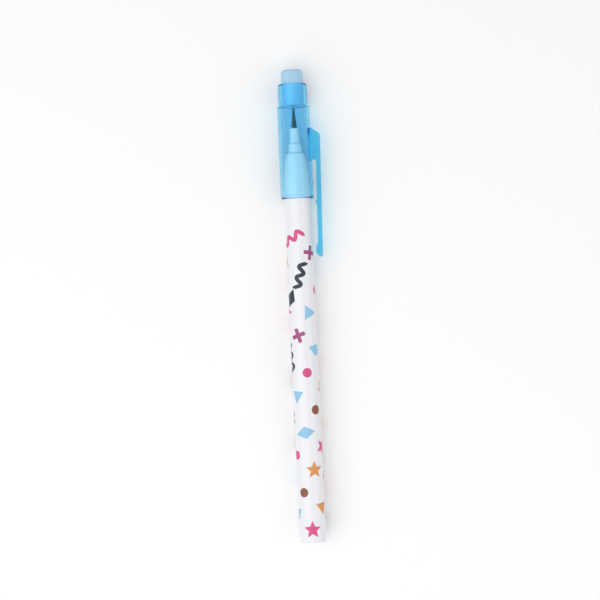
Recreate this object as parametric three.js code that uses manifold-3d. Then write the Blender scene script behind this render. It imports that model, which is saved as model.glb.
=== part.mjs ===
// Non-sharpening pencil: ready-sharp points stacked in a barrel, and a clear cap with a clip and an eraser.
// Millimetres. +Y runs along the pencil towards its writing point, +X towards the clip, +Z is up as it lies.
import * as THREE from 'three';
import { mergeVertices } from 'three/addons/utils/BufferGeometryUtils.js';
import Module from 'manifold-3d';

const wasm = await Module();
wasm.setup();

// Facets round the turned pieces, steps along a curve, and corners of one facet
const SHELL_SIDES = 32;
const HOLDER_SIDES = 20;
const LEAD_SIDES = 12;
const CURVE_STEPS = 6;
const TRIANGLE_CORNERS = 3;

// Lead of a point
const LEAD_RADIUS = 0.9;
const LEAD_TIP_RADIUS = 0.3;
const LEAD_EXPOSED = 6.4;
const LEAD_ANCHOR = 3.4;
const LEAD_CLEARANCE = 0.05;

// Holder of a point: a slim neck round the lead, and a hollow body that takes the next point's lead and neck
const HOLDER_NECK_LENGTH = 4.9;
const HOLDER_TIP_WALL = 0.5;
const HOLDER_NECK_FLARE = 0.15;
const HOLDER_WALL = 0.4;
const HOLDER_CHAMFER = 0.15;
const SOCKET_FLOOR = 1;
const NEST_CLEARANCE = 0.1;
const NEST_STEP_GAP = 0.3;
const NEST_END_GAP = 0.6;
const LEAD_POCKET_CLEARANCE = 0.3;

// Stack of points in the barrel
const POINT_COUNT = 11;
const STACK_GAP = 0.05;
const TAIL_RECESS = 0.9;
const BODY_EXPOSED = 3.1;

// Nose cone
const NOSE_TAPER_LENGTH = 10;
const NOSE_COLLAR_LENGTH = 3.2;
const NOSE_RIM_WALL = 0.7;
const NOSE_RIM_CHAMFER = 0.25;
const NOSE_SWELL_SETBACK = 3.5;
const NOSE_SWELL_DROP = 0.5;
const NOSE_BORE_CLEARANCE = 0.15;
const NOSE_SPIGOT_LENGTH = 7;
const NOSE_SPIGOT_WALL = 0.95;
const NOSE_COLLAR_STEP = 0.05;
const CAP_BEAD_HEIGHT = 0.07;
const CAP_BEAD_LENGTH = 0.8;
const CAP_BEAD_SETBACK = 0.6;

// Barrel
const BARREL_RADIUS = 4.2;
const BARREL_BORE_CLEARANCE = 0.25;
const BARREL_CHAMFER = 0.35;
const SPIGOT_CLEARANCE = 0.05;
const SPIGOT_END_GAP = 0.3;
const TAIL_BEAD_SETBACK = 1.6;
const TAIL_BEAD_LENGTH = 1.2;
const TAIL_BEAD_HEIGHT = 0.13;

// Cap
const CAP_OVERLAP = 1.1;
const CAP_CLEARANCE = 0.15;
const CAP_WALL = 0.8;
const CAP_DRAFT = 0.12;
const CAP_TIP_GAP = 0.5;
const CAP_CEILING = 0.5;
const CAP_CORNER = 0.9;
const CAP_SHOULDER_ROUND = 0.45;
const CAP_MOUTH_CHAMFER = 0.12;
const CAP_NECK_LENGTH = 7.15;
const CAP_NECK_WALL = 1.06;
const CAP_NECK_ROUND = 0.7;

// Eraser in the cap's neck
const ERASER_RADIUS = 3.45;
const ERASER_LENGTH = 11.1;
const ERASER_ROUND = 1.1;
const ERASER_CLEARANCE = 0.1;
const ERASER_SEAT_GAP = 0.05;

// Clip: a root moulded on the cap's side, and the arm that springs below it
const CLIP_WIDTH = 3.2;
const CLIP_THICKNESS = 1.5;
const CLIP_SLOT = 1.25;
const CLIP_ROOT_DROP = 6.85;
const CLIP_ROOT_LENGTH = 10.3;
const CLIP_ROOT_BITE = 0.15;
const CLIP_SHOULDER_SLOPE = 2.2;
const CLIP_SHOULDER_ROUND = 0.6;
const CLIP_ARM_LENGTH = 30.95;
const CLIP_LEAN = 0.02;
const CLIP_FLEX_GAP = 0.15;
const CLIP_TOOTH_DROP = 0.6;
const CLIP_TOOTH_LENGTH = 1.8;
const CLIP_TOOTH_HEIGHT = 0.55;
const CLIP_PAD_LENGTH = 4.7;
const CLIP_PAD_HEIGHT = 0.7;
const CLIP_TIP_ROUND = 0.8;

// Finishes
const WHITE_GLOSS = new THREE.MeshStandardMaterial({ color: 0xeff0f6, roughness: 0.3, metalness: 0 });
const WHITE_SATIN = new THREE.MeshStandardMaterial({ color: 0xe8eef4, roughness: 0.4, metalness: 0 });
const CLEAR_BLUE = new THREE.MeshStandardMaterial({
  color: 0x6fbdf0,
  roughness: 0.12,
  metalness: 0,
  transparent: true,
  opacity: 0.5,
});
const PALE_BLUE_RUBBER = new THREE.MeshStandardMaterial({ color: 0xaed7f3, roughness: 0.75, metalness: 0 });
const GRAPHITE = new THREE.MeshStandardMaterial({ color: 0x2b2e33, roughness: 0.5, metalness: 0.2 });

// Radii that follow from the pieces they fit
const neckFront = LEAD_RADIUS + LEAD_CLEARANCE + HOLDER_TIP_WALL;
const neckRear = neckFront + HOLDER_NECK_FLARE;
const holderRadius = neckRear + NEST_CLEARANCE + HOLDER_WALL;
const noseBore = holderRadius + NOSE_BORE_CLEARANCE;
const noseRim = noseBore + NOSE_RIM_WALL;
const noseCollar = BARREL_RADIUS + NOSE_COLLAR_STEP;
const spigotRadius = noseBore + NOSE_SPIGOT_WALL;
const barrelBore = holderRadius + BARREL_BORE_CLEARANCE;
const spigotSeat = spigotRadius + SPIGOT_CLEARANCE;
const capMouthBore = noseCollar + CAP_CLEARANCE;
const capTopBore = capMouthBore - CAP_DRAFT;
const eraserSocket = ERASER_RADIUS + ERASER_CLEARANCE;
const capNeck = eraserSocket + CAP_NECK_WALL;

// Stations along the pencil, counted from the tail face
const pointPitch = LEAD_EXPOSED + LEAD_ANCHOR + SOCKET_FLOOR + NEST_END_GAP;
const frontShoulder = TAIL_RECESS + POINT_COUNT * pointPitch - STACK_GAP;
const leadTip = frontShoulder + HOLDER_NECK_LENGTH + LEAD_EXPOSED;
const noseFront = frontShoulder - BODY_EXPOSED;
const barrelFront = noseFront - NOSE_TAPER_LENGTH - NOSE_COLLAR_LENGTH;
const capMouth = barrelFront - CAP_OVERLAP;
const capCeiling = leadTip + CAP_TIP_GAP;
const socketFloor = capCeiling + CAP_CEILING;
const capTop = capCeiling + CAP_NECK_LENGTH;
const clipRootTop = capCeiling - CLIP_ROOT_DROP;
const clipRootFoot = clipRootTop - CLIP_ROOT_LENGTH;

// The cap's bore and outside narrow by the same draft from mouth to ceiling
function capBoreAt(y) {
  return THREE.MathUtils.mapLinear(y, capMouth, capCeiling, capMouthBore, capTopBore);
}

function capOutsideAt(y) {
  return capBoreAt(y) + CAP_WALL;
}

const clipInnerTop = capOutsideAt(clipRootFoot) + CLIP_SLOT;

// The arm leans towards the barrel by a steady slope below its root
function clipInnerAt(y) {
  return clipInnerTop - (clipRootFoot - y) * CLIP_LEAN;
}

function clipOuterAt(y) {
  return clipInnerAt(y) + CLIP_THICKNESS;
}

// A turned piece: its profile runs [radius, y] up the outside and down the inside, with a flat underneath
function turned(profile, sides) {
  const points = profile.map(([radius, y]) => new THREE.Vector2(radius, y));
  return new THREE.LatheGeometry(points, sides, Math.PI / sides);
}

// A quarter round from one profile point to another, bulging towards the corner given
function roundCorner(from, corner, to) {
  const curve = new THREE.QuadraticBezierCurve(
    new THREE.Vector2(...from),
    new THREE.Vector2(...corner),
    new THREE.Vector2(...to),
  );
  return curve.getPoints(CURVE_STEPS).map((point) => [point.x, point.y]);
}

// A flat outline in the pencil's X and Y, given the clip's width in Z
function clipPlate(shape) {
  const settings = { depth: CLIP_WIDTH, bevelEnabled: false, curveSegments: CURVE_STEPS };
  return new THREE.ExtrudeGeometry(shape, settings).translate(0, 0, -CLIP_WIDTH / 2);
}

// A closed geometry as a solid that can be joined to others
function toSolid(geometry) {
  const bare = geometry.clone();
  bare.deleteAttribute('normal');
  bare.deleteAttribute('uv');
  const merged = mergeVertices(bare);
  const corners = merged.index.array;
  const triangles = [];
  for (let at = 0; at < corners.length; at += TRIANGLE_CORNERS) {
    const [a, b, c] = corners.slice(at, at + TRIANGLE_CORNERS);
    if (a !== b && b !== c && c !== a) {
      triangles.push(a, b, c);
    }
  }
  return new wasm.Manifold(new wasm.Mesh({
    numProp: 3,
    vertProperties: merged.attributes.position.array,
    triVerts: new Uint32Array(triangles),
  }));
}

function fromSolid(solid) {
  const { vertProperties, triVerts } = solid.getMesh();
  const geometry = new THREE.BufferGeometry();
  geometry.setAttribute('position', new THREE.BufferAttribute(vertProperties, 3));
  geometry.setIndex(new THREE.BufferAttribute(triVerts, 1));
  geometry.computeVertexNormals();
  return geometry;
}

function piece(name, geometry, material) {
  const mesh = new THREE.Mesh(geometry, material);
  mesh.name = name;
  return mesh;
}

// Barrel: a thick tube, counterbored for the nose's spigot, with a bead at the open tail that grips a point
function barrelGeometry() {
  const seatDepth = barrelFront - NOSE_SPIGOT_LENGTH - SPIGOT_END_GAP;
  const beadEnd = TAIL_BEAD_SETBACK + TAIL_BEAD_LENGTH;
  const beadMiddle = TAIL_BEAD_SETBACK + TAIL_BEAD_LENGTH / 2;
  const tailOuter = BARREL_RADIUS - BARREL_CHAMFER;
  return turned([
    [barrelBore + BARREL_CHAMFER, 0],
    ...roundCorner([tailOuter, 0], [BARREL_RADIUS, 0], [BARREL_RADIUS, BARREL_CHAMFER]),
    [BARREL_RADIUS, barrelFront],
    [spigotSeat, barrelFront],
    [spigotSeat, seatDepth],
    [barrelBore, seatDepth],
    [barrelBore, beadEnd],
    [barrelBore - TAIL_BEAD_HEIGHT, beadMiddle],
    [barrelBore, TAIL_BEAD_SETBACK],
    [barrelBore, BARREL_CHAMFER],
    [barrelBore + BARREL_CHAMFER, 0],
  ], SHELL_SIDES);
}

// Nose cone: a swelling taper, a collar with a bead that grips the cap, and a spigot pushed into the barrel
function noseGeometry() {
  const spigotEnd = barrelFront - NOSE_SPIGOT_LENGTH;
  const taperFoot = noseFront - NOSE_TAPER_LENGTH;
  const beadFoot = barrelFront + CAP_BEAD_SETBACK;
  const beadMiddle = beadFoot + CAP_BEAD_LENGTH / 2;
  const beadTop = beadFoot + CAP_BEAD_LENGTH;
  const swell = [noseCollar - NOSE_SWELL_DROP, noseFront - NOSE_SWELL_SETBACK];
  return turned([
    [noseBore, spigotEnd],
    [spigotRadius, spigotEnd],
    [spigotRadius, barrelFront],
    [noseCollar, barrelFront],
    [noseCollar, beadFoot],
    [noseCollar + CAP_BEAD_HEIGHT, beadMiddle],
    [noseCollar, beadTop],
    ...roundCorner([noseCollar, taperFoot], swell, [noseRim, noseFront - NOSE_RIM_CHAMFER]),
    [noseRim - NOSE_RIM_CHAMFER, noseFront],
    [noseBore, noseFront],
    [noseBore, spigotEnd],
  ], SHELL_SIDES);
}

// Holder, drawn with its shoulder at y = 0
function holderGeometry() {
  const bodyEnd = STACK_GAP - pointPitch;
  const leadSeat = HOLDER_NECK_LENGTH - LEAD_ANCHOR - LEAD_CLEARANCE;
  const leadBore = LEAD_RADIUS + LEAD_CLEARANCE;
  const socketEnd = HOLDER_NECK_LENGTH - LEAD_ANCHOR - SOCKET_FLOOR;
  const socketStep = bodyEnd + HOLDER_NECK_LENGTH + NEST_STEP_GAP;
  const leadPocket = LEAD_RADIUS + LEAD_POCKET_CLEARANCE;
  return turned([
    [0, socketEnd],
    [leadPocket, socketEnd],
    [leadPocket, socketStep],
    [neckFront + NEST_CLEARANCE, socketStep],
    [neckRear + NEST_CLEARANCE, bodyEnd],
    [holderRadius - HOLDER_CHAMFER, bodyEnd],
    [holderRadius, bodyEnd + HOLDER_CHAMFER],
    [holderRadius, -HOLDER_CHAMFER],
    [holderRadius - HOLDER_CHAMFER, 0],
    [neckRear, 0],
    [neckFront, HOLDER_NECK_LENGTH - HOLDER_CHAMFER],
    [neckFront - HOLDER_CHAMFER, HOLDER_NECK_LENGTH],
    [leadBore, HOLDER_NECK_LENGTH],
    [leadBore, leadSeat],
    [0, leadSeat],
  ], HOLDER_SIDES);
}

// Lead, drawn from its holder's shoulder at y = 0
function leadGeometry() {
  return turned([
    [0, HOLDER_NECK_LENGTH - LEAD_ANCHOR],
    [LEAD_RADIUS, HOLDER_NECK_LENGTH - LEAD_ANCHOR],
    [LEAD_RADIUS, HOLDER_NECK_LENGTH],
    [LEAD_TIP_RADIUS, HOLDER_NECK_LENGTH + LEAD_EXPOSED],
    [0, HOLDER_NECK_LENGTH + LEAD_EXPOSED],
  ], LEAD_SIDES);
}

// Root of the clip: a block with a sloping shoulder, biting into the cap's wall
function clipRootGeometry() {
  const inside = capBoreAt(clipRootFoot) + CLIP_ROOT_BITE;
  const cornerY = clipRootTop - CLIP_SHOULDER_SLOPE;
  const corner = clipOuterAt(cornerY);
  const outline = new THREE.Shape();
  outline.moveTo(inside, clipRootFoot);
  outline.lineTo(clipOuterAt(clipRootFoot), clipRootFoot);
  outline.lineTo(clipOuterAt(cornerY - CLIP_SHOULDER_ROUND), cornerY - CLIP_SHOULDER_ROUND);
  outline.quadraticCurveTo(corner, cornerY, corner - CLIP_SHOULDER_ROUND, cornerY + CLIP_SHOULDER_ROUND / 2);
  outline.lineTo(capOutsideAt(clipRootTop), clipRootTop);
  outline.lineTo(inside, clipRootTop);
  outline.closePath();
  return clipPlate(outline);
}

// Cap: bore, ceiling over the lead's tip, narrower neck with a socket for the eraser, and the clip's root
function capGeometry() {
  const cornerY = capCeiling - CAP_CORNER;
  const shoulder = capOutsideAt(capCeiling);
  const shell = turned([
    [0, capCeiling],
    [capTopBore - CAP_CORNER, capCeiling],
    [capBoreAt(cornerY), cornerY],
    [capMouthBore, capMouth + CAP_MOUTH_CHAMFER],
    [capMouthBore + CAP_MOUTH_CHAMFER, capMouth],
    [capOutsideAt(capMouth) - CAP_MOUTH_CHAMFER, capMouth],
    [capOutsideAt(capMouth), capMouth + CAP_MOUTH_CHAMFER],
    ...roundCorner(
      [capOutsideAt(capCeiling - CAP_SHOULDER_ROUND), capCeiling - CAP_SHOULDER_ROUND],
      [shoulder, capCeiling],
      [capNeck, capCeiling],
    ),
    ...roundCorner(
      [capNeck, capTop - CAP_NECK_ROUND],
      [capNeck, capTop],
      [capNeck - CAP_NECK_ROUND, capTop],
    ),
    [eraserSocket, capTop],
    [eraserSocket, socketFloor],
    [0, socketFloor],
  ], SHELL_SIDES);
  return fromSolid(toSolid(shell).add(toSolid(clipRootGeometry())));
}

// Arm of the clip: a leaning strip with a tooth below the cap's mouth and a rounded gripping pad at its tip
function clipArmGeometry() {
  const top = clipRootFoot - CLIP_FLEX_GAP;
  const tip = clipRootFoot - CLIP_ARM_LENGTH;
  const toothTop = capMouth - CLIP_TOOTH_DROP;
  const toothFoot = toothTop - CLIP_TOOTH_LENGTH;
  const toothTip = toothTop - CLIP_TOOTH_LENGTH / 4;
  const padTop = tip + CLIP_PAD_LENGTH;
  const padMiddle = tip + CLIP_PAD_LENGTH / 2;
  const pad = clipInnerAt(padMiddle) - CLIP_PAD_HEIGHT;
  const tipOuter = clipOuterAt(tip);
  const outline = new THREE.Shape();
  outline.moveTo(clipInnerAt(top), top);
  outline.lineTo(clipInnerAt(toothTop), toothTop);
  outline.lineTo(clipInnerAt(toothTip) - CLIP_TOOTH_HEIGHT, toothTip);
  outline.lineTo(clipInnerAt(toothFoot), toothFoot);
  outline.lineTo(clipInnerAt(padTop), padTop);
  outline.quadraticCurveTo(pad, padTop - CLIP_PAD_LENGTH / 4, pad, padMiddle);
  outline.quadraticCurveTo(pad, tip + CLIP_PAD_LENGTH / 4, tipOuter - CLIP_TIP_ROUND, tip);
  outline.quadraticCurveTo(tipOuter, tip, clipOuterAt(tip + CLIP_TIP_ROUND), tip + CLIP_TIP_ROUND);
  outline.lineTo(clipOuterAt(top), top);
  outline.closePath();
  return clipPlate(outline);
}

// Eraser: a plain rod with a rounded end, seated on the floor of the cap's socket
function eraserGeometry() {
  const seat = socketFloor + ERASER_SEAT_GAP;
  const end = seat + ERASER_LENGTH;
  return turned([
    [0, seat],
    [ERASER_RADIUS, seat],
    ...roundCorner(
      [ERASER_RADIUS, end - ERASER_ROUND],
      [ERASER_RADIUS, end],
      [ERASER_RADIUS - ERASER_ROUND, end],
    ),
    [0, end],
  ], SHELL_SIDES);
}

const pencil = new THREE.Group();
pencil.add(piece('barrel', barrelGeometry(), WHITE_GLOSS));
pencil.add(piece('nose_cone', noseGeometry(), WHITE_SATIN));

// Points, numbered from the writing end
for (let number = 1; number <= POINT_COUNT; number += 1) {
  const label = String(number).padStart(2, '0');
  const point = new THREE.Group();
  point.position.y = frontShoulder - (number - 1) * pointPitch;
  point.add(piece(`point_holder_${label}`, holderGeometry(), WHITE_SATIN));
  point.add(piece(`point_lead_${label}`, leadGeometry(), GRAPHITE));
  pencil.add(point);
}

pencil.add(piece('cap_shell', capGeometry(), CLEAR_BLUE));
pencil.add(piece('pocket_clip', clipArmGeometry(), CLEAR_BLUE));
pencil.add(piece('eraser', eraserGeometry(), PALE_BLUE_RUBBER));

// The origin is under the middle of the pencil, on the surface that it lies on
const reach = new THREE.Box3().setFromObject(pencil);
const middle = reach.getCenter(new THREE.Vector3());
pencil.position.set(-middle.x, -middle.y, -reach.min.z);

export default pencil;
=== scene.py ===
"""Looks of a non-sharpening pencil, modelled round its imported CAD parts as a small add-on."""

import math
from collections import namedtuple

import bmesh
import bpy
from bpy.props import FloatProperty, FloatVectorProperty, IntProperty, PointerProperty
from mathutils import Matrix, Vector


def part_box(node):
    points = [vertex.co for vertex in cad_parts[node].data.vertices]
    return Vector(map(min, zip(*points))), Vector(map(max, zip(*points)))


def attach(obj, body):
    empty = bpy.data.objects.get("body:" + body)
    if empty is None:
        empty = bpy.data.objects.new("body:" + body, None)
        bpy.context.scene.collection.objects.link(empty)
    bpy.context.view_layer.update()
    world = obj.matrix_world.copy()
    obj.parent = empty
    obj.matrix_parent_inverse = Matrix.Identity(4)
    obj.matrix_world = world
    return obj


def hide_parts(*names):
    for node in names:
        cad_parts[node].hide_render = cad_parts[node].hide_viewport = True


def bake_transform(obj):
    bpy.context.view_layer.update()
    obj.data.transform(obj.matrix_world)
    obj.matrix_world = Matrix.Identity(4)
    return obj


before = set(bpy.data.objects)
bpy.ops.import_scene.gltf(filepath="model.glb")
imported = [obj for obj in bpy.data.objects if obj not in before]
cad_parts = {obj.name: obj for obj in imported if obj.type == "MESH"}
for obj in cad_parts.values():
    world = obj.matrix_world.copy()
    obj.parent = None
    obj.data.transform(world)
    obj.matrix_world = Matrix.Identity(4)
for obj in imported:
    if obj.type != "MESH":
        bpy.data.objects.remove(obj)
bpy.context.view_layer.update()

bl_info = {
    "name": "Non-sharpening Pencil",
    "version": (1, 0, 0),
    "blender": (4, 5, 0),
    "location": "View3D > Sidebar > Pencil",
    "description": "Builds a capped pencil with a stack of ready-sharp points round its CAD parts",
    "category": "Add Mesh",
}

MM = 0.001

# Fineness of the meshes
SHELL_SEGMENTS = 128
POINT_SEGMENTS = 72
ARC_STEPS = 7
RING_SPACING = 1.2 * MM
SWELL_STEPS = 110
SHARP_ANGLE = math.radians(40)
WELD_DISTANCE = 0.0002 * MM

# Flats round the CAD pieces, whose boxes are measured across them
SHELL_FLATS = 32

POINT_COUNT = len([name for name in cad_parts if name.startswith("point_holder_")])
BARREL_LOW, BARREL_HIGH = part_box("barrel")
AXIS = (BARREL_LOW + BARREL_HIGH) / 2
NOSE_LOW, NOSE_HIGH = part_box("nose_cone")
HOLDER_LOW, HOLDER_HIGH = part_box("point_holder_01")
LEAD_LOW, LEAD_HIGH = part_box("point_lead_01")
CAP_LOW, CAP_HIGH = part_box("cap_shell")
CLIP_LOW, CLIP_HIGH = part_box("pocket_clip")
ERASER_LOW, ERASER_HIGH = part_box("eraser")
POINT_PITCH = HOLDER_LOW.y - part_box("point_holder_02")[0].y


def round_radius(low, high):
    """True radius of a turned CAD shell, from its box across flats."""
    return (high.x - low.x) / 2 / math.cos(math.pi / SHELL_FLATS)


def size(name, description, default):
    """A length that a user may change, in metres."""
    return FloatProperty(name=name, description=description, default=default, unit="LENGTH", precision=5)


def colour(name, description, default):
    """A surface colour that a user may change, linear."""
    return FloatVectorProperty(
        name=name, description=description, default=default, subtype="COLOR", min=0.0, max=1.0
    )


class BarrelSizes(bpy.types.PropertyGroup):
    """Sizes of the white tube"""

    radius: size("Radius", "Outside radius of the tube", round_radius(BARREL_LOW, BARREL_HIGH))
    bore: size("Bore", "Radius of the hole that the points slide in", 2.35 * MM)
    seat: size("Seat", "Radius of the wider hole that takes the nose's spigot", 3.25 * MM)
    seat_depth: size("Seat depth", "Depth of the wider hole at the front", 7.3 * MM)
    tail_round: size("Tail rounding", "Rounding of the tail's outer edge", 0.35 * MM)
    lead_in: size("Lead-in", "Flare of the bore at the tail", 0.35 * MM)
    edge: size("Edge", "Rounding of the front edges", 0.1 * MM)
    bead_setback: size("Bead setback", "Distance of the gripping bead from the tail", 1.6 * MM)
    bead_length: size("Bead length", "Length of the gripping bead", 1.2 * MM)
    bead_height: size("Bead height", "How far the bead stands into the bore", 0.13 * MM)


class NoseSizes(bpy.types.PropertyGroup):
    """Sizes of the nose cone"""

    bore: size("Bore", "Radius of the hole for the points", 2.25 * MM)
    rim: size("Rim", "Radius of the front rim", 2.95 * MM)
    rim_round: size("Rim rounding", "Rounding of the front rim", 0.25 * MM)
    collar: size("Collar", "Radius of the collar that the cap grips", 4.25 * MM)
    collar_length: size("Collar length", "Length of the collar", 3.2 * MM)
    spigot: size("Spigot", "Radius of the spigot in the barrel", 3.2 * MM)
    seam: size("Seam", "Width of the seam between collar and barrel", 0.05 * MM)
    swell_setback: size("Swell setback", "How far behind the rim the taper swells", 3.5 * MM)
    swell_drop: size("Swell drop", "How far inside the collar the taper swells to", 0.5 * MM)
    bead_setback: size("Bead setback", "Distance of the cap bead from the barrel", 0.6 * MM)
    bead_length: size("Bead length", "Length of the cap bead", 0.8 * MM)
    bead_height: size("Bead height", "Height of the cap bead", 0.07 * MM)
    groove_depth: size("Groove depth", "Depth of the fine grooves behind the rim", 0.06 * MM)
    groove_width: size("Groove width", "Width of a fine groove", 0.36 * MM)
    groove_spacing: size("Groove spacing", "Distance from rim to groove and from groove to groove", 0.8 * MM)
    groove_count: IntProperty(name="Grooves", description="Number of fine grooves", default=2, min=0)


class PointSizes(bpy.types.PropertyGroup):
    """Sizes of a lead and its holder"""

    neck_length: size("Neck length", "Length of the holder's slim neck", 4.9 * MM)
    neck_front: size("Neck front", "Radius of the neck at the lead", 1.45 * MM)
    neck_rear: size("Neck rear", "Radius of the neck at the shoulder", 1.6 * MM)
    body: size("Body", "Radius of the holder's body", 2.1 * MM)
    edge: size("Edge", "Rounding of the holder's edges", 0.16 * MM)
    nest_clearance: size("Nest clearance", "Room round the next point's neck", 0.1 * MM)
    nest_gap: size("Nest gap", "Room in front of the next point's neck", 0.3 * MM)
    pocket: size("Pocket", "Radius of the room for the next point's lead", 1.2 * MM)
    floor: size("Floor", "Thickness of the wall behind the lead", 1.0 * MM)
    lead: size("Lead", "Radius of the lead", 0.9 * MM)
    lead_clearance: size("Lead clearance", "Room round the lead in its holder", 0.03 * MM)
    tip: size("Tip", "Radius of the lead's blunt tip", 0.3 * MM)
    tip_round: size("Tip rounding", "Rounding of the lead's tip", 0.2 * MM)


class CapSizes(bpy.types.PropertyGroup):
    """Sizes of the clear cap"""

    mouth: size("Mouth", "Outside radius at the mouth", 5.17 * MM)
    mouth_bore: size("Mouth bore", "Inside radius at the mouth", 4.47 * MM)
    shoulder: size("Shoulder", "Outside radius under the neck", 5.07 * MM)
    shoulder_bore: size("Shoulder bore", "Inside radius under the ceiling", 4.2 * MM)
    shoulder_round: size("Shoulder rounding", "Rounding of the shoulder", 0.2 * MM)
    ceiling_round: size("Ceiling rounding", "Rounding inside, under the ceiling", 0.15 * MM)
    tip_gap: size("Tip gap", "Room over the lead's tip", 0.5 * MM)
    web: size("Web", "Thickness of the ceiling between lead and eraser", 0.15 * MM)
    neck: size("Neck", "Outside radius of the neck", 4.6 * MM)
    neck_round: size("Neck rounding", "Rounding of the neck's rim", 0.6 * MM)
    socket: size("Socket", "Radius of the eraser's socket", 3.55 * MM)
    lip: size("Lip", "How far the socket widens at its rim", 0.2 * MM)
    lip_depth: size("Lip depth", "Depth of the wider part of the socket", 0.6 * MM)
    flare: size("Flare", "How far the bore widens at the mouth", 0.2 * MM)
    flare_depth: size("Flare depth", "Depth of the flare at the mouth", 0.45 * MM)
    mouth_round: size("Mouth rounding", "Rounding of the mouth's outer edge", 0.36 * MM)
    edge: size("Edge", "Rounding of the small edges", 0.12 * MM)


class ClipSizes(bpy.types.PropertyGroup):
    """Sizes of the pocket clip and its root"""

    width: size("Width", "Width of the clip across the pencil", CLIP_HIGH.z - CLIP_LOW.z)
    thickness: size("Thickness", "Thickness of the arm", 1.5 * MM)
    slot: size("Slot", "Gap between cap and arm at the root", 1.25 * MM)
    cap_gap: size("Seam", "Width of the seam between root and cap", 0.02 * MM)
    flex_gap: size("Flex gap", "Distance of the CAD arm from the root's foot", 0.15 * MM)
    root_length: size("Root length", "Length of the root on the cap's side", 10.3 * MM)
    shoulder_slope: size("Shoulder slope", "How far the shoulder drops outwards", 2.2 * MM)
    shoulder_round: size("Shoulder rounding", "Rounding of the shoulder's corner", 0.7 * MM)
    slot_round: size("Slot rounding", "Rounding at the top of the slot", 0.3 * MM)
    lean: FloatProperty(name="Lean", description="Slope of the arm towards the barrel", default=0.02)
    tooth_drop: size("Tooth drop", "Distance of the tooth from the cap's mouth", 0.6 * MM)
    tooth_length: size("Tooth length", "Length of the tooth", 1.8 * MM)
    tooth_height: size("Tooth height", "Height of the tooth", 0.55 * MM)
    tooth_round: size("Tooth rounding", "Rounding of the tooth", 0.2 * MM)
    pad_length: size("Pad length", "Length of the gripping pad at the tip", 4.7 * MM)
    pad_height: size("Pad height", "Height of the gripping pad", 0.7 * MM)
    tip_round: size("Tip rounding", "Rounding of the arm's tip", 0.75 * MM)
    edge: size("Edge", "Rounding along the clip's edges", 0.3 * MM)
    bend: size("Bend", "Length over which the arm bends", 4.5 * MM)


class EraserSizes(bpy.types.PropertyGroup):
    """Sizes of the eraser"""

    radius: size("Radius", "Radius of the eraser", round_radius(ERASER_LOW, ERASER_HIGH))
    seat_gap: size("Seat gap", "Room under the eraser in its socket", 0.03 * MM)
    tip_round: size("Tip rounding", "Rounding of the rubbing end", 1.1 * MM)
    foot_round: size("Foot rounding", "Rounding of the hidden end", 0.08 * MM)


class PrintSizes(bpy.types.PropertyGroup):
    """Sizes and places of the printed motifs"""

    film: size("Film", "Thickness of the ink", 0.02 * MM)
    sink: size("Sink", "How far the ink reaches into the tube", 0.02 * MM)
    strip: size("Strip", "Width of the strips that follow the curve", 0.3 * MM)
    start: size("Start", "Distance of the first motif from the tail", 4.2 * MM)
    step: size("Step", "Distance between motifs along the tube", 2.36 * MM)
    count: IntProperty(name="Motifs", description="Number of printed motifs", default=40, min=0)
    star: size("Star", "Radius of a star", 2.9 * MM)
    diamond: size("Diamond", "Half the length of a diamond", 3.2 * MM)
    triangle: size("Triangle", "Radius of a triangle", 2.6 * MM)
    cross: size("Cross", "Half the length of a cross", 2.3 * MM)
    dot: size("Dot", "Radius of a dot", 1.5 * MM)
    squiggle: size("Squiggle", "Length of a squiggle", 9.0 * MM)
    stroke: size("Stroke", "Width of a printed line", 1.25 * MM)


class Colours(bpy.types.PropertyGroup):
    """Colours of the surfaces"""

    barrel: colour("Barrel", "White of the tube", (0.86, 0.87, 0.905))
    nose: colour("Nose", "White of the nose", (0.93, 0.92, 0.9))
    holder: colour("Holder", "White of the holders", (0.85, 0.845, 0.855))
    lead: colour("Lead", "Grey of the graphite", (0.012, 0.02, 0.03))
    eraser: colour("Eraser", "Pale blue of the eraser", (0.435, 0.69, 0.9))
    tint: colour("Tint", "What the clear blue plastic lets through", (0.32, 0.89, 0.975))
    pink: colour("Pink", "Hot pink ink", (0.75, 0.08, 0.26))
    sky: colour("Sky", "Sky blue ink", (0.3, 0.61, 0.87))
    orange: colour("Orange", "Orange ink", (0.78, 0.32, 0.1))
    magenta: colour("Magenta", "Magenta ink", (0.38, 0.07, 0.22))
    brown: colour("Brown", "Brown ink", (0.26, 0.082, 0.03))
    black: colour("Black", "Near-black ink", (0.012, 0.02, 0.04))


class StageSettings(bpy.types.PropertyGroup):
    """Camera, lights and floor"""

    aim: FloatVectorProperty(
        name="Aim",
        description="Point in the middle of the picture",
        size=2,
        default=(AXIS.x - 0.67 * MM, BARREL_LOW.y + 76.75 * MM),
        unit="LENGTH",
    )
    view_width: size("View width", "Width of the picture at the pencil's axis", 190.2 * MM)
    lens: FloatProperty(name="Lens", description="Focal length in millimetres", default=120.0)
    lean: FloatProperty(
        name="Lean", description="Turn of the camera", default=math.radians(-2.66), unit="ROTATION"
    )
    floor_width: size("Floor width", "Width of the floor", 8.0)
    key_power: FloatProperty(name="Key", description="Power of the key light", default=2.6, unit="POWER")
    fill_power: FloatProperty(name="Fill", description="Power of the fill light", default=0.6, unit="POWER")
    sky: FloatProperty(name="Sky", description="Strength of the light from all round", default=0.6)


class PencilSettings(bpy.types.PropertyGroup):
    """All settings of the pencil"""

    barrel: PointerProperty(type=BarrelSizes)
    nose: PointerProperty(type=NoseSizes)
    point: PointerProperty(type=PointSizes)
    cap: PointerProperty(type=CapSizes)
    clip: PointerProperty(type=ClipSizes)
    eraser: PointerProperty(type=EraserSizes)
    print: PointerProperty(type=PrintSizes)
    colours: PointerProperty(type=Colours)
    stage: PointerProperty(type=StageSettings)


# Outlines


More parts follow.
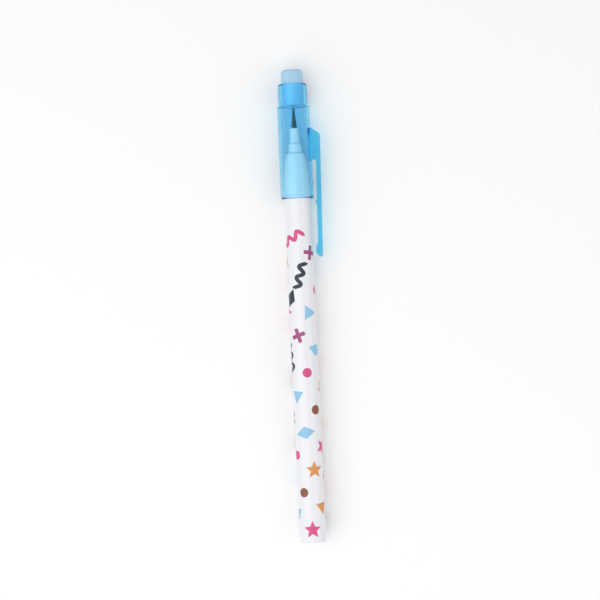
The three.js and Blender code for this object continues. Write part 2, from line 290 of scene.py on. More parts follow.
def rounded(corners):
    """Points of a closed outline of (x, y, rounding) corners, with an arc at each rounded one."""
    points = []
    for place, (x, y, rounding) in enumerate(corners):
        corner = Vector((x, y))
        if rounding == 0:
            points.append(corner)
            continue
        before = Vector(corners[place - 1][:2]) - corner
        after = Vector(corners[(place + 1) % len(corners)][:2]) - corner
        half = before.angle(after) / 2
        reach = rounding / math.tan(half)
        if reach > min(before.length, after.length):
            raise ValueError(f"A rounding of {rounding / MM:.2f} mm does not fit its corner")
        before.normalize()
        after.normalize()
        middle = corner + (before + after).normalized() * (rounding / math.sin(half))
        first = corner + before * reach - middle
        last = corner + after * reach - middle
        start = math.atan2(first.y, first.x)
        sweep = math.remainder(math.atan2(last.y, last.x) - start, math.tau)
        for step in range(ARC_STEPS + 1):
            angle = start + sweep * step / ARC_STEPS
            points.append(middle + rounding * Vector((math.cos(angle), math.sin(angle))))
    return points


def bezier(first, control, last, steps):
    """Points along a quadratic curve, its ends among them."""
    points = []
    for step in range(steps + 1):
        t = step / steps
        points.append(first.lerp(control, t).lerp(control.lerp(last, t), t))
    return points


def stepped(points, spacing):
    """The same outline with long stretches cut into steps no longer than the spacing."""
    fine = []
    for first, last in zip(points, points[1:] + points[:1]):
        steps = max(1, math.ceil((last - first).length / spacing))
        fine += [first.lerp(last, step / steps) for step in range(steps)]
    return fine


# Meshes


def turned(corners, segments):
    """A closed mesh of an outline of (radius, y, rounding) corners, turned round the pencil's axis."""
    outline = stepped(rounded(corners), RING_SPACING)
    mesh = bmesh.new()
    verts = [mesh.verts.new((AXIS.x + radius, along, AXIS.z)) for radius, along in outline]
    edges = [mesh.edges.new(pair) for pair in zip(verts, verts[1:] + verts[:1])]
    bmesh.ops.spin(
        mesh,
        geom=verts + edges,
        cent=(AXIS.x, 0, AXIS.z),
        axis=(0, 1, 0),
        angle=math.tau,
        steps=segments,
        use_merge=True,
    )
    bmesh.ops.remove_doubles(mesh, verts=mesh.verts, dist=WELD_DISTANCE)
    loose = [edge for edge in mesh.edges if not edge.link_faces]
    bmesh.ops.delete(mesh, geom=loose, context="EDGES")
    return mesh


def made_mesh(mesh, name, material):
    """A finished mesh datablock, smooth apart from its sharp edges."""
    bmesh.ops.recalc_face_normals(mesh, faces=mesh.faces)
    data = bpy.data.meshes.new(name)
    mesh.to_mesh(data)
    mesh.free()
    data.materials.append(material)
    data.shade_smooth()
    data.set_sharp_from_angle(angle=SHARP_ANGLE)
    return data


def placed(data, name):
    """A piece that shows the mesh, with its large faces ruling how its edges are shaded."""
    old = bpy.data.objects.get(name)
    if old is not None:
        bpy.data.objects.remove(old)
    piece = bpy.data.objects.new(name, data)
    bpy.context.scene.collection.objects.link(piece)
    shading = piece.modifiers.new("even_shading", "WEIGHTED_NORMAL")
    shading.keep_sharp = True
    return piece


def add_piece(mesh, name, material):
    """A piece made from a bmesh."""
    return placed(made_mesh(mesh, name, material), name)


# Materials

# Textures are given in grains per metre; drawn is how far the grains are drawn out along the pencil
Texture = namedtuple("Texture", "mottle drawn mottle_shade sheen roughness pores pore_depth")
BARREL_TEXTURE = Texture(220, 6, 0.975, 900, (0.2, 0.28), 5000, 0.0015 * MM)
NOSE_TEXTURE = Texture(420, 2, 0.95, 1500, (0.34, 0.48), 12000, 0.006 * MM)
LEAD_TEXTURE = Texture(5200, 5, 0.45, 3400, (0.45, 0.65), 16000, 0.012 * MM)
ERASER_TEXTURE = Texture(1500, 1, 0.9, 2600, (0.68, 0.9), 7000, 0.02 * MM)
INK_TEXTURE = Texture(2600, 1, 0.86, 1400, (0.24, 0.4), 14000, 0.003 * MM)
MIDDLE_RANGE = (0.35, 0.65)
NOISE_DETAIL = 4.0

WHITE = (1.0, 1.0, 1.0, 1.0)
BARREL_COAT = 0.2
BARREL_COAT_ROUGHNESS = 0.12
LEAD_METAL = 0.2
ERASER_SHEEN = 0.15

# Clear plastic: its depth, its surface, and the flow marks in grains per metre
CLEAR_DENSITY = 800.0
CLEAR_IOR = 1.45
CLEAR_SHARE = 0.99
CLEAR_HAZE = (0.86, 0.855, 0.96, 1.0)
CLEAR_GLINT = (0.3, 0.85, 1.0, 1.0)
CLEAR_ROUGHNESS = (0.02, 0.07)
CLEAR_FLOW = 260
CLEAR_FLOW_DRAWN = 9
CLEAR_RIPPLE = 0.012 * MM


def add_node(tree, kind, values=None):
    """A new node, with values on the named inputs."""
    node = tree.nodes.new(kind)
    for key, value in (values or {}).items():
        node.inputs[key].default_value = value
    return node


def new_material(name):
    """An empty material with its output and a Principled shader, joined."""
    old = bpy.data.materials.get(name)
    if old is not None:
        bpy.data.materials.remove(old)
    material = bpy.data.materials.new(name)
    material.use_nodes = True
    tree = material.node_tree
    tree.nodes.clear()
    output = add_node(tree, "ShaderNodeOutputMaterial")
    shader = add_node(tree, "ShaderNodeBsdfPrincipled")
    tree.links.new(shader.outputs["BSDF"], output.inputs["Surface"])
    return material, tree, shader, output


def grain(tree, fineness, drawn=1.0):
    """A noise in the piece's own space."""
    space = add_node(tree, "ShaderNodeTexCoord")
    mapping = add_node(tree, "ShaderNodeMapping", {"Scale": (fineness, fineness / drawn, fineness)})
    noise = add_node(tree, "ShaderNodeTexNoise", {"Scale": 1.0, "Detail": NOISE_DETAIL})
    tree.links.new(space.outputs["Object"], mapping.inputs["Vector"])
    tree.links.new(mapping.outputs["Vector"], noise.inputs["Vector"])
    return noise.outputs["Fac"]


def colour_between(tree, factor, low, high):
    """A colour that runs from low to high over the middle of the factor's range."""
    ramp = add_node(tree, "ShaderNodeValToRGB")
    for element, position, shade in zip(ramp.color_ramp.elements, MIDDLE_RANGE, (low, high)):
        element.position = position
        element.color = (*shade, 1.0)
    tree.links.new(factor, ramp.inputs["Fac"])
    return ramp.outputs["Color"]


def number_between(tree, factor, low, high):
    """A number that runs from low to high over the middle of the factor's range."""
    ranged = add_node(
        tree,
        "ShaderNodeMapRange",
        {"From Min": MIDDLE_RANGE[0], "From Max": MIDDLE_RANGE[1], "To Min": low, "To Max": high},
    )
    tree.links.new(factor, ranged.inputs["Value"])
    return ranged.outputs["Result"]


def relief(tree, factor, depth):
    """A normal that dips by that depth."""
    bump = add_node(tree, "ShaderNodeBump", {"Strength": 1.0, "Distance": depth})
    tree.links.new(factor, bump.inputs["Height"])
    return bump.outputs["Normal"]


def textured(name, base, texture):
    """An opaque material with mottled colour, uneven gloss and fine pores."""
    material, tree, shader, _ = new_material(name)
    darker = [texture.mottle_shade * part for part in base]
    mottle = grain(tree, texture.mottle, texture.drawn)
    tree.links.new(colour_between(tree, mottle, darker, base), shader.inputs["Base Color"])
    gloss = number_between(tree, grain(tree, texture.sheen, texture.drawn), *texture.roughness)
    tree.links.new(gloss, shader.inputs["Roughness"])
    pores = relief(tree, grain(tree, texture.pores), texture.pore_depth)
    tree.links.new(pores, shader.inputs["Normal"])
    return material, shader


def glossy_white(colours):
    """White plastic of the tube, with a clear skin."""
    material, shader = textured("glossy_white", colours.barrel, BARREL_TEXTURE)
    shader.inputs["Coat Weight"].default_value = BARREL_COAT
    shader.inputs["Coat Roughness"].default_value = BARREL_COAT_ROUGHNESS
    return material


def satin_white(name, base):
    """White plastic of the nose or of the holders."""
    material, _ = textured(name, base, NOSE_TEXTURE)
    return material


def graphite(colours):
    """Graphite with drawn-out streaks and a dull metal sheen."""
    material, shader = textured("graphite", colours.lead, LEAD_TEXTURE)
    shader.inputs["Metallic"].default_value = LEAD_METAL
    return material


def eraser_rubber(colours):
    """Matt rubber."""
    material, shader = textured("eraser_rubber", colours.eraser, ERASER_TEXTURE)
    shader.inputs["Sheen Weight"].default_value = ERASER_SHEEN
    return material


def ink(name, base):
    """Screen-printed ink."""
    material, _ = textured(name, base, INK_TEXTURE)
    return material


def clear_blue(colours):
    """Clear plastic tinted through its depth, with faint flow marks; lamps shine through it."""
    material, tree, shader, output = new_material("clear_blue")
    shader.inputs["Base Color"].default_value = CLEAR_HAZE
    shader.inputs["Transmission Weight"].default_value = CLEAR_SHARE
    shader.inputs["IOR"].default_value = CLEAR_IOR
    shader.inputs["Specular Tint"].default_value = CLEAR_GLINT
    flow = grain(tree, CLEAR_FLOW, CLEAR_FLOW_DRAWN)
    tree.links.new(number_between(tree, flow, *CLEAR_ROUGHNESS), shader.inputs["Roughness"])
    tree.links.new(relief(tree, flow, CLEAR_RIPPLE), shader.inputs["Normal"])
    path = add_node(tree, "ShaderNodeLightPath")
    passing = add_node(tree, "ShaderNodeBsdfTransparent", {"Color": WHITE})
    mix = add_node(tree, "ShaderNodeMixShader")
    tree.links.new(path.outputs["Is Shadow Ray"], mix.inputs["Fac"])
    tree.links.new(shader.outputs["BSDF"], mix.inputs[1])
    tree.links.new(passing.outputs["BSDF"], mix.inputs[2])
    tree.links.new(mix.outputs["Shader"], output.inputs["Surface"])
    tint = add_node(tree, "ShaderNodeVolumeAbsorption", {"Density": CLEAR_DENSITY})
    tint.inputs["Color"].default_value = (*colours.tint, 1.0)
    tree.links.new(tint.outputs["Volume"], output.inputs["Volume"])
    return material


# Pieces


class PENCIL_OT_barrel(bpy.types.Operator):
    """Make the white tube with its open tail"""

    bl_idname = "point_pencil.barrel"
    bl_label = "Barrel"

    def execute(self, context):
        settings = context.scene.point_pencil
        sizes = settings.barrel
        tail, front = BARREL_LOW.y, BARREL_HIGH.y
        seat_end = front - sizes.seat_depth
        bead = tail + sizes.bead_setback
        corners = [
            (sizes.bore + sizes.lead_in, tail, sizes.edge),
            (sizes.radius, tail, sizes.tail_round),
            (sizes.radius, front, sizes.edge),
            (sizes.seat, front, sizes.edge),
            (sizes.seat, seat_end, 0),
            (sizes.bore, seat_end, 0),
            (sizes.bore, bead + sizes.bead_length, 0),
            (sizes.bore - sizes.bead_height, bead + sizes.bead_length / 2, sizes.bead_length / 2),
            (sizes.bore, bead, 0),
            (sizes.bore, tail + sizes.lead_in, sizes.edge),
        ]
        piece = add_piece(turned(corners, SHELL_SEGMENTS), "barrel_tube", glossy_white(settings.colours))
        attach(piece, "barrel")
        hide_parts("barrel")
        return {"FINISHED"}


class PENCIL_OT_nose(bpy.types.Operator):
    """Make the swelling nose cone, with its collar and spigot"""

    bl_idname = "point_pencil.nose"
    bl_label = "Nose cone"

    def groove(self, sizes, along):
        """How deep the fine grooves are at that place along the pencil."""
        depth = 0.0
        for number in range(1, sizes.groove_count + 1):
            middle = NOSE_HIGH.y - number * sizes.groove_spacing
            across = (along - middle) / sizes.groove_width
            if abs(across) < 0.5:
                depth += sizes.groove_depth * math.cos(math.pi * across) ** 2
        return depth

    def execute(self, context):
        settings = context.scene.point_pencil
        sizes = settings.nose
        end, front, step = NOSE_LOW.y, NOSE_HIGH.y, BARREL_HIGH.y
        bead = step + sizes.bead_setback
        swell = bezier(
            Vector((sizes.collar, step + sizes.collar_length)),
            Vector((sizes.collar - sizes.swell_drop, front - sizes.swell_setback)),
            Vector((sizes.rim, front - sizes.rim_round)),
            SWELL_STEPS,
        )
        taper = [(radius - self.groove(sizes, along), along, 0) for radius, along in swell]
        corners = [
            (sizes.bore, end, sizes.rim_round),
            (sizes.spigot, end, sizes.rim_round),
            (sizes.spigot, step + sizes.seam, 0),
            (sizes.collar, step + sizes.seam, sizes.seam),
            (sizes.collar, bead, 0),
            (sizes.collar + sizes.bead_height, bead + sizes.bead_length / 2, sizes.bead_length / 2),
            (sizes.collar, bead + sizes.bead_length, 0),
            *taper,
            (sizes.rim - sizes.rim_round, front, sizes.rim_round / 2),
            (sizes.bore, front, sizes.rim_round / 2),
        ]
        white = satin_white("nose_white", settings.colours.nose)
        piece = add_piece(turned(corners, SHELL_SEGMENTS), "nose", white)
        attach(piece, "barrel")
        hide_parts("nose_cone")
        return {"FINISHED"}


class PENCIL_OT_points(bpy.types.Operator):
    """Make the stack of points, each a lead in its holder"""

    bl_idname = "point_pencil.points"
    bl_label = "Points"

    def holder_corners(self, sizes):
        """Outline of a holder with its shoulder at y = 0."""
        tail = HOLDER_LOW.y - HOLDER_HIGH.y + sizes.neck_length
        nest_end = tail + sizes.neck_length + sizes.nest_gap
        lead_seat = LEAD_LOW.y - HOLDER_HIGH.y + sizes.neck_length
        lead_bore = sizes.lead + sizes.lead_clearance
        pocket_end = lead_seat - sizes.floor
        return [
            (0, pocket_end, 0),
            (sizes.pocket, pocket_end, sizes.edge),
            (sizes.pocket, nest_end, 0),
            (sizes.neck_front + sizes.nest_clearance, nest_end, 0),
            (sizes.neck_rear + sizes.nest_clearance, tail, sizes.edge / 2),
            (sizes.body, tail, sizes.edge),
            (sizes.body, 0, sizes.edge),
            (sizes.neck_rear, 0, sizes.edge),
            (sizes.neck_front, sizes.neck_length, sizes.edge),
            (lead_bore, sizes.neck_length, sizes.edge / 2),
            (lead_bore, lead_seat, 0),
            (0, lead_seat, 0),
        ]

    def lead_corners(self, sizes):
        """Outline of a lead, from its holder's shoulder at y = 0."""
        shoulder = HOLDER_HIGH.y - sizes.neck_length
        end, tip = LEAD_LOW.y - shoulder, LEAD_HIGH.y - shoulder
        return [
            (0, end, 0),
            (sizes.lead, end, sizes.edge),
            (sizes.lead, sizes.neck_length, sizes.lead),
            (sizes.tip, tip, sizes.tip_round),
            (0, tip, 0),
        ]

    def execute(self, context):
        settings = context.scene.point_pencil
        sizes = settings.point
        white = satin_white("holder_white", settings.colours.holder)
        grey = graphite(settings.colours)
        holder = made_mesh(turned(self.holder_corners(sizes), POINT_SEGMENTS), "holder", white)
        lead = made_mesh(turned(self.lead_corners(sizes), POINT_SEGMENTS), "lead", grey)
        kinds = (("holder", holder, "point_white"), ("lead", lead, "graphite"))
        for number in range(1, POINT_COUNT + 1):
            body = "front_point" if number == 1 else "point_stack"
            shoulder = HOLDER_HIGH.y - sizes.neck_length - (number - 1) * POINT_PITCH
            for kind, data, slot in kinds:
                piece = placed(data, f"{kind}_{number:02}")
                piece.location.y = shoulder
                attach(piece, body)
                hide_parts(f"point_{kind}_{number:02}")
        return {"FINISHED"}


def cap_ceiling(sizes):
    """Where the underside of the cap's ceiling is, along the pencil."""
    return LEAD_HIGH.y + sizes.tip_gap


def cap_outside(sizes, along):
    """Outside radius of the cap below its shoulder."""
    share = (along - CAP_LOW.y) / (cap_ceiling(sizes) - CAP_LOW.y)
    return sizes.mouth + share * (sizes.shoulder - sizes.mouth)


class PENCIL_OT_cap(bpy.types.Operator):
    """Make the clear cap, with a ceiling over the lead and a neck for the eraser"""

    bl_idname = "point_pencil.cap"
    bl_label = "Cap"

    def execute(self, context):
        settings = context.scene.point_pencil
        sizes = settings.cap
        mouth, top = CAP_LOW.y, CAP_HIGH.y
        ceiling = cap_ceiling(sizes)
        floor = ceiling + sizes.web
        corners = [
            (0, ceiling, 0),
            (sizes.shoulder_bore, ceiling, sizes.ceiling_round),
            (sizes.mouth_bore, mouth + sizes.flare_depth, sizes.flare),
            (sizes.mouth_bore + sizes.flare, mouth, sizes.edge),
            (sizes.mouth, mouth, sizes.mouth_round),
            (sizes.shoulder, ceiling, sizes.shoulder_round),
            (sizes.neck, ceiling, sizes.edge / 2),
            (sizes.neck, top, sizes.neck_round),
            (sizes.socket + sizes.lip, top, sizes.edge / 2),
            (sizes.socket, top - sizes.lip_depth, sizes.edge),
            (sizes.socket, floor, sizes.edge),
            (0, floor, 0),
        ]
        piece = add_piece(turned(corners, SHELL_SEGMENTS), "cap", clear_blue(settings.colours))
        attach(piece, "cap")
        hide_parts("cap_shell")
        return {"FINISHED"}


# Shares of the tooth's length down to its tip, and of the pad's length in which its curves swing round
TOOTH_TIP_SHARE = 0.25
PAD_SWING_SHARE = 0.25


class PENCIL_OT_clip(bpy.types.Operator):
    """Make the pocket clip and its root as one strip"""

    bl_idname = "point_pencil.clip"
    bl_label = "Pocket clip"

    def root_foot(self, sizes):
        """Where the arm leaves its root, along the pencil."""
        return CLIP_HIGH.y + sizes.flex_gap

    def outline(self, cap, sizes):
        """Points of the clip seen from above, x counted from the pencil's axis, and which lie on the cap."""
        foot = self.root_foot(sizes)
        top = foot + sizes.root_length
        tip = CLIP_LOW.y
        inner_top = cap_outside(cap, foot) + sizes.slot

        def inner(along):
            return inner_top - (foot - along) * sizes.lean

        def outer(along):
            return inner(along) + sizes.thickness

        corner = top - sizes.shoulder_slope
        tooth = CAP_LOW.y - sizes.tooth_drop
        tooth_foot = tooth - sizes.tooth_length
        tooth_tip = tooth - sizes.tooth_length * TOOTH_TIP_SHARE
        pad_top = tip + sizes.pad_length
        pad_middle = tip + sizes.pad_length / 2
        pad = inner(pad_middle) - sizes.pad_height
        pad_swing = sizes.pad_length * PAD_SWING_SHARE
        end = Vector((outer(tip) - sizes.tip_round, tip))
        middle = Vector((pad, pad_middle))
        pad_start = Vector((inner(pad_top), pad_top))
        pad_curve = bezier(end, Vector((pad, tip + pad_swing)), middle, ARC_STEPS)
        pad_curve += bezier(middle, Vector((pad, pad_top - pad_swing)), pad_start, ARC_STEPS)[1:]
        corners = [
            (cap_outside(cap, foot) + sizes.cap_gap, foot, 0),
            (cap_outside(cap, top) + sizes.cap_gap, top, 0),
            (outer(corner), corner, sizes.shoulder_round),
            (outer(tip), tip, sizes.tip_round),
            *[(x, y, 0) for x, y in pad_curve[1:]],
            (inner(tooth_foot), tooth_foot, sizes.tooth_round),
            (inner(tooth_tip) - sizes.tooth_height, tooth_tip, sizes.tooth_round),
            (inner(tooth), tooth, sizes.tooth_round),
            (inner(foot), foot, sizes.slot_round),
        ]
        points = stepped(rounded(corners), RING_SPACING)
        met = [abs(x - cap_outside(cap, y) - sizes.cap_gap) < WELD_DISTANCE for x, y in points]
        return points, met

    def outward(self, points, met):
        """Direction out of the outline at each point, leaving out the sides that lie on the cap."""
        count = len(points)
        sides = []
        for place in range(count):
            side = (points[(place + 1) % count] - points[place]).normalized()
            on_cap = met[place] and met[(place + 1) % count]
            sides.append(Vector((0, 0)) if on_cap else Vector((-side.y, side.x)))
        return [(sides[place - 1] + sides[place]).normalized() for place in range(count)]

    def levels(self, sizes):
        """Heights of the slices across the clip, each with how far its edges are drawn in."""
        flat = sizes.width / 2 - sizes.edge
        rising = []
        for step in range(ARC_STEPS + 1):
            angle = math.pi / 2 * step / ARC_STEPS
            rising.append((flat + sizes.edge * math.sin(angle), sizes.edge * (1 - math.cos(angle))))
        between = [(flat * step / ARC_STEPS, 0.0) for step in range(1 - ARC_STEPS, ARC_STEPS)]
        return [(-height, inset) for height, inset in reversed(rising)] + between + rising

    def execute(self, context):
        settings = context.scene.point_pencil
        cap, sizes = settings.cap, settings.clip
        points, met = self.outline(cap, sizes)
        outward = self.outward(points, met)
        mesh = bmesh.new()
        slices = []
        for height, inset in self.levels(sizes):
            ring = []
            for point, on_cap, away in zip(points, met, outward):
                x, y = point - inset * away
                if on_cap:
                    x = math.sqrt((cap_outside(cap, y) + sizes.cap_gap) ** 2 - height**2)
                ring.append(mesh.verts.new((AXIS.x + x, y, AXIS.z + height)))
            slices.append(ring)
        for lower, upper in zip(slices, slices[1:]):
            for place in range(len(points)):
                following = (place + 1) % len(points)
                mesh.faces.new((lower[place], lower[following], upper[following], upper[place]))
        mesh.faces.new(slices[0])
        mesh.faces.new(slices[-1])
        piece = add_piece(mesh, "clip", bpy.data.materials["clear_blue"])
        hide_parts("pocket_clip")
        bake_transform(piece)
        return {"FINISHED"}


class PENCIL_OT_eraser(bpy.types.Operator):
    """Make the eraser in the cap's neck"""

    bl_idname = "point_pencil.eraser"
    bl_label = "Eraser"

    def execute(self, context):
        settings = context.scene.point_pencil
        sizes, cap = settings.eraser, settings.cap
        foot = cap_ceiling(cap) + cap.web + sizes.seat_gap
        corners = [
            (0, foot, 0),
            (sizes.radius, foot, sizes.foot_round),
            (sizes.radius, ERASER_HIGH.y, sizes.tip_round),
            (0, ERASER_HIGH.y, 0),
        ]
        rubber = eraser_rubber(settings.colours)
        piece = add_piece(turned(corners, SHELL_SEGMENTS), "eraser_rod", rubber)
        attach(piece, "cap")
        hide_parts("eraser")
        return {"FINISHED"}


# Printed motifs

# Turns from one motif to the next, in radians: round the tube and of the motif itself
GOLDEN_TURN = math.pi * (3 - math.sqrt(5))
TILT_STEP = 1.1

# Waists and the squiggle's swing are shares of the motif's size
STAR_TIPS = 5
STAR_WAIST = 0.45
TRIANGLE_SIDES = 3
DIAMOND_SIDES = 4
DIAMOND_WAIST = 0.62
DOT_SIDES = 28
CROSS_ARMS = 4
SQUIGGLE_WAVES = 2.5
SQUIGGLE_SWING = 0.11
SQUIGGLE_STEPS = 60


def star(sizes):
    """Corners of a star."""
    corners = []
    for place in range(2 * STAR_TIPS):
        radius = sizes.star * (STAR_WAIST if place % 2 else 1)
        angle = math.pi * place / STAR_TIPS
        corners.append((radius * math.sin(angle), radius * math.cos(angle)))
    return corners


def regular(radius, sides):
    """Corners of a regular polygon."""
    angles = [math.tau * place / sides for place in range(sides)]
    return [(radius * math.sin(angle), radius * math.cos(angle)) for angle in angles]


def triangle(sizes):
    """Corners of a triangle."""
    return regular(sizes.triangle, TRIANGLE_SIDES)


def dot(sizes):
    """Corners of a round dot."""
    return regular(sizes.dot, DOT_SIDES)


def diamond(sizes):
    """Corners of a diamond."""
    return [(x * DIAMOND_WAIST, y) for x, y in regular(sizes.diamond, DIAMOND_SIDES)]


def cross(sizes):
    """Corners of a cross."""
    half = sizes.stroke / 2
    arm = [(half, half), (half, sizes.cross), (-half, sizes.cross)]
    corners = []
    for _ in range(CROSS_ARMS):
        corners += arm
        arm = [(-y, x) for x, y in arm]
    return corners


def squiggle(sizes):
    """Corners of a wavy line of even width."""
    swing = sizes.squiggle * SQUIGGLE_SWING
    rate = math.tau * SQUIGGLE_WAVES / sizes.squiggle
    near, far = [], []
    for step in range(SQUIGGLE_STEPS + 1):
        along = sizes.squiggle * (step / SQUIGGLE_STEPS - 0.5)
        middle = Vector((swing * math.sin(rate * along), along))
        aside = Vector((1, -swing * rate * math.cos(rate * along))).normalized() * sizes.stroke / 2
        near.append(tuple(middle - aside))
        far.append(tuple(middle + aside))
    return near + far[::-1]


MOTIFS = (
    (star, "pink"),
    (squiggle, "black"),
    (diamond, "sky"),
    (triangle, "orange"),
    (cross, "magenta"),
    (dot, "brown"),
    (squiggle, "pink"),
    (triangle, "sky"),
    (star, "orange"),
    (diamond, "black"),
    (dot, "pink"),
)


class PENCIL_OT_print(bpy.types.Operator):
    """Print the tube with scattered motifs, one piece for each ink"""

    bl_idname = "point_pencil.print"
    bl_label = "Print"

    def flat_motifs(self, sizes, radius, wanted):
        """Flat shapes of one ink's motifs: x round the tube, y along it."""
        mesh = bmesh.new()
        for number in range(sizes.count):
            shape, name = MOTIFS[number % len(MOTIFS)]
            if name != wanted:
                continue
            around = math.remainder(number * GOLDEN_TURN, math.tau) * radius
            along = BARREL_LOW.y + sizes.start + number * sizes.step
            tilt = number * TILT_STEP
            corners = []
            for x, y in shape(sizes):
                across = around + x * math.cos(tilt) - y * math.sin(tilt)
                up = along + x * math.sin(tilt) + y * math.cos(tilt)
                corners.append(mesh.verts.new((across, up, 0)))
            mesh.faces.new(corners)
        return mesh

    def wrap(self, mesh, sizes, radius):
        """Cut the flat shapes into strips, thicken them and wrap them round the tube."""
        bmesh.ops.recalc_face_normals(mesh, faces=mesh.faces)
        bmesh.ops.triangulate(mesh, faces=mesh.faces)
        strips = int(max(abs(vert.co.x) for vert in mesh.verts) / sizes.strip)
        for strip in range(-strips, strips + 1):
            everything = mesh.verts[:] + mesh.edges[:] + mesh.faces[:]
            place = (strip * sizes.strip, 0, 0)
            bmesh.ops.bisect_plane(mesh, geom=everything, plane_co=place, plane_no=(1, 0, 0))
        bmesh.ops.remove_doubles(mesh, verts=mesh.verts, dist=WELD_DISTANCE)
        for vert in mesh.verts:
            vert.co.z = -sizes.sink
        raised = bmesh.ops.extrude_face_region(mesh, geom=mesh.faces[:], use_keep_orig=True)
        for vert in raised["geom"]:
            if isinstance(vert, bmesh.types.BMVert):
                vert.co.z = sizes.film
        for vert in mesh.verts:
            angle = vert.co.x / radius
            reach = radius + vert.co.z
            vert.co.x = AXIS.x + reach * math.sin(angle)
            vert.co.z = AXIS.z + reach * math.cos(angle)

    def execute(self, context):
        settings = context.scene.point_pencil
        sizes, radius = settings.print, settings.barrel.radius
        for name in sorted({ink_name for _, ink_name in MOTIFS}):
            mesh = self.flat_motifs(sizes, radius, name)
            self.wrap(mesh, sizes, radius)
            piece = add_piece(mesh, f"print_{name}", ink(f"ink_{name}", getattr(settings.colours, name)))
            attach(piece, "barrel")
        return {"FINISHED"}


# Stage

FLOOR_WHITE = 0.95
FLOOR_LIFT = 0.06

# Places and widths of the lamps, in metres
KEY_PLACE = (-0.32, -0.2, 0.55)
KEY_SIZE = 0.9
FILL_PLACE = (0.5, -0.15, 0.45)
FILL_SIZE = 0.5

# The camera's nearest distance in metres, and its sensor in millimetres
CAMERA_NEAR = 0.01
SENSOR = 36.0

# Light runs far inside the walls of the clear plastic
LIGHT_BOUNCES = 48


def seen_rays(tree):
    """One for rays that show the background, straight, mirrored or through clear plastic, else zero."""
    path = add_node(tree, "ShaderNodeLightPath")
    total = path.outputs["Is Camera Ray"]
    for name in ("Is Glossy Ray", "Is Transmission Ray"):
        both = add_node(tree, "ShaderNodeMath")
        both.operation = "MAXIMUM"
        tree.links.new(total, both.inputs[0])
        tree.links.new(path.outputs[name], both.inputs[1])
        total = both.outputs["Value"]
    return total


def pale_floor():
    """White floor that keeps shadows, lifted to white where it is seen."""
    material, tree, shader, _ = new_material("pale_floor")
    shader.inputs["Base Color"].default_value = (FLOOR_WHITE, FLOOR_WHITE, FLOOR_WHITE, 1.0)
    shader.inputs["Roughness"].default_value = 1.0
    shader.inputs["Specular IOR Level"].default_value = 0.0
    shader.inputs["Emission Color"].default_value = WHITE
    lift = add_node(tree, "ShaderNodeMath")
    lift.operation = "MULTIPLY"
    lift.inputs[1].default_value = FLOOR_LIFT
    tree.links.new(seen_rays(tree), lift.inputs[0])
    tree.links.new(lift.outputs["Value"], shader.inputs["Emission Strength"])
    return material


def soft_light(name, place, width, power):
    """A square soft light aimed at the middle of the pencil, not seen by the camera."""
    data = bpy.data.lights.new(name, "AREA")
    data.shape = "SQUARE"
    data.size = width
    data.energy = power
    light = bpy.data.objects.new(name, data)
    light.location = place
    light.rotation_euler = (AXIS - Vector(place)).to_track_quat("-Z", "Y").to_euler()
    light.visible_camera = False
    bpy.context.scene.collection.objects.link(light)


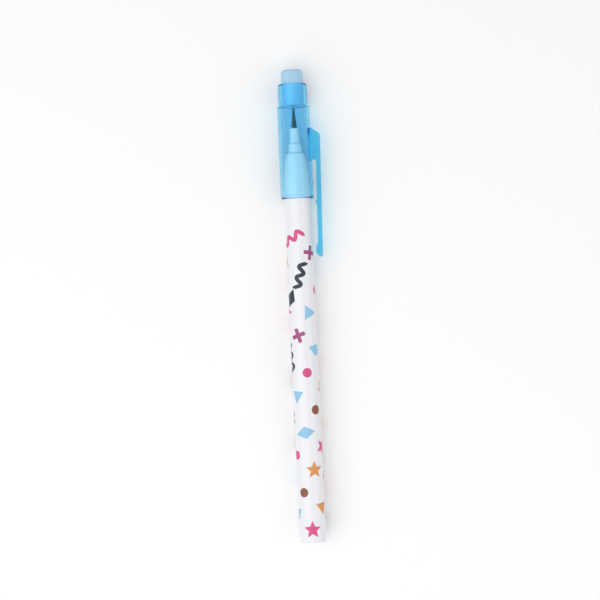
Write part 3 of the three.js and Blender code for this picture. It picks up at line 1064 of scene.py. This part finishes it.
class PENCIL_OT_stage(bpy.types.Operator):
    """Set up the floor, the lights and the camera"""

    bl_idname = "point_pencil.stage"
    bl_label = "Stage"

    def add_floor(self, width):
        """A pale floor under the pencil."""
        mesh = bmesh.new()
        bmesh.ops.create_grid(mesh, x_segments=1, y_segments=1, size=width / 2)
        data = bpy.data.meshes.new("floor")
        mesh.to_mesh(data)
        mesh.free()
        data.materials.append(pale_floor())
        floor = bpy.data.objects.new("floor", data)
        bpy.context.scene.collection.objects.link(floor)

    def add_sky(self, scene, strength):
        """Even light from all round, white where it is seen."""
        world = bpy.data.worlds.new("even_light")
        world.use_nodes = True
        tree = world.node_tree
        background = tree.nodes["Background"]
        background.inputs["Color"].default_value = WHITE
        level = add_node(tree, "ShaderNodeMapRange", {"To Min": strength, "To Max": 1.0})
        tree.links.new(seen_rays(tree), level.inputs["Value"])
        tree.links.new(level.outputs["Result"], background.inputs["Strength"])
        scene.world = world

    def add_camera(self, scene, settings):
        """A long lens straight above the pencil."""
        data = bpy.data.cameras.new("camera")
        data.sensor_width = SENSOR
        data.lens = settings.lens
        data.clip_start = CAMERA_NEAR
        camera = bpy.data.objects.new("camera", data)
        distance = settings.view_width * settings.lens / SENSOR
        camera.location = (*settings.aim, AXIS.z + distance)
        camera.rotation_euler.z = settings.lean
        scene.collection.objects.link(camera)
        scene.camera = camera

    def execute(self, context):
        scene = context.scene
        settings = scene.point_pencil.stage
        self.add_floor(settings.floor_width)
        soft_light("key_light", KEY_PLACE, KEY_SIZE, settings.key_power)
        soft_light("fill_light", FILL_PLACE, FILL_SIZE, settings.fill_power)
        self.add_sky(scene, settings.sky)
        self.add_camera(scene, settings)
        scene.view_settings.view_transform = "Standard"
        scene.cycles.max_bounces = LIGHT_BOUNCES
        scene.cycles.glossy_bounces = LIGHT_BOUNCES
        scene.cycles.transmission_bounces = LIGHT_BOUNCES
        return {"FINISHED"}


PIECES = (
    PENCIL_OT_barrel,
    PENCIL_OT_print,
    PENCIL_OT_nose,
    PENCIL_OT_points,
    PENCIL_OT_cap,
    PENCIL_OT_clip,
    PENCIL_OT_eraser,
    PENCIL_OT_stage,
)


class PENCIL_PT_sidebar(bpy.types.Panel):
    """Sizes, colours and pieces of the pencil"""

    bl_idname = "PENCIL_PT_sidebar"
    bl_label = "Non-sharpening Pencil"
    bl_space_type = "VIEW_3D"
    bl_region_type = "UI"
    bl_category = "Pencil"

    def draw(self, context):
        settings = context.scene.point_pencil
        for operator in PIECES:
            self.layout.operator(operator.bl_idname)
        for group_name in PencilSettings.__annotations__:
            box = self.layout.box()
            box.label(text=group_name.capitalize())
            group = getattr(settings, group_name)
            for name in type(group).__annotations__:
                box.prop(group, name)


CLASSES = (
    BarrelSizes,
    NoseSizes,
    PointSizes,
    CapSizes,
    ClipSizes,
    EraserSizes,
    PrintSizes,
    Colours,
    StageSettings,
    PencilSettings,
    *PIECES,
    PENCIL_PT_sidebar,
)


def register():
    """Add the classes and the scene's settings."""
    for kind in CLASSES:
        bpy.utils.register_class(kind)
    bpy.types.Scene.point_pencil = PointerProperty(type=PencilSettings)


def unregister():
    """Take the settings and the classes away again."""
    del bpy.types.Scene.point_pencil
    for kind in reversed(CLASSES):
        bpy.utils.unregister_class(kind)


def main():
    """Build the pencil and its stage."""
    register()
    bpy.ops.point_pencil.barrel()
    bpy.ops.point_pencil.print()
    bpy.ops.point_pencil.nose()
    bpy.ops.point_pencil.points()
    bpy.ops.point_pencil.cap()
    bpy.ops.point_pencil.clip()
    bpy.ops.point_pencil.eraser()
    bpy.ops.point_pencil.stage()


if __name__ == "__main__":
    main()
